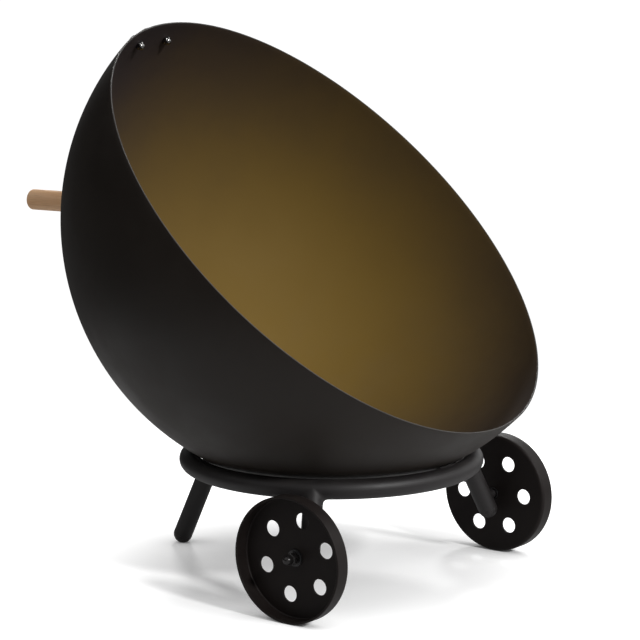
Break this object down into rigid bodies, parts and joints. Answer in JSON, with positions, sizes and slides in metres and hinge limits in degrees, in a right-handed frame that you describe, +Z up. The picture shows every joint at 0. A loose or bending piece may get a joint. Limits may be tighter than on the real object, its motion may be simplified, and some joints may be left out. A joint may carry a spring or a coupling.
{
  "type": "fire bowl",
  "caption": "Tilted half-globe steel fire bowl seated in a tube ring stand, with a round wooden handle standing out at the back and pierced sheet wheels on the front legs.",
  "frame": {"origin": "on the floor, under the middle of the whole object's box", "axes": "+Z up; X from wheel to wheel; the bowl opens towards -Y and the handle and rear leg are on +Y"},
  "size_m": [0.5988, 0.6093, 0.6115],
  "materials": {
    "bowl_steel": "matt heat-proof coating",
    "stand_steel": "satin",
    "wheel_steel": "satin",
    "plain_steel": "turned",
    "bush_plastic": "black bearing plastic",
    "handle_wood": "oiled"
  },
  "bodies": {
    "stand": {"stand_ring": "stand_steel", "seat_pads": "stand_steel", "rear_leg": "stand_steel", "rear_foot": "stand_steel", "left_leg": "stand_steel", "left_leg_cap": "stand_steel", "left_axle": "plain_steel", "left_inner_washer": "plain_steel", "left_outer_washer": "plain_steel", "left_axle_nut": "plain_steel", "right_leg": "stand_steel", "right_leg_cap": "stand_steel", "right_axle": "plain_steel", "right_inner_washer": "plain_steel", "right_outer_washer": "plain_steel", "right_axle_nut": "plain_steel"},
    "left_wheel": {"left_wheel": "wheel_steel", "left_hub_bush": "bush_plastic"},
    "right_wheel": {"right_wheel": "wheel_steel", "right_hub_bush": "bush_plastic"},
    "bowl": {"bowl_shell": "bowl_steel", "handle_strap": "bowl_steel", "strap_screws": "plain_steel", "strap_washers": "plain_steel", "strap_nuts": "plain_steel", "handle_bar": "handle_wood", "handle_screw": "plain_steel"}
  },
  "joints": [
    {"name": "bowl_tilt", "type": "hinge", "parent": "stand", "child": "bowl", "pos_m": [0.00056, -0.09108, 0.3996], "axis": [0.9925, 0.1219, 0], "range_deg": [-45, 10]},
    {"name": "left_wheel_spin", "type": "hinge", "parent": "stand", "child": "left_wheel", "pos_m": [-0.16395, -0.18606, 0.0686], "axis": [1, 0, 0], "continuous": true},
    {"name": "right_wheel_spin", "type": "hinge", "parent": "stand", "child": "right_wheel", "pos_m": [0.16506, -0.18606, 0.0686], "axis": [1, 0, 0], "continuous": true}
  ]
}
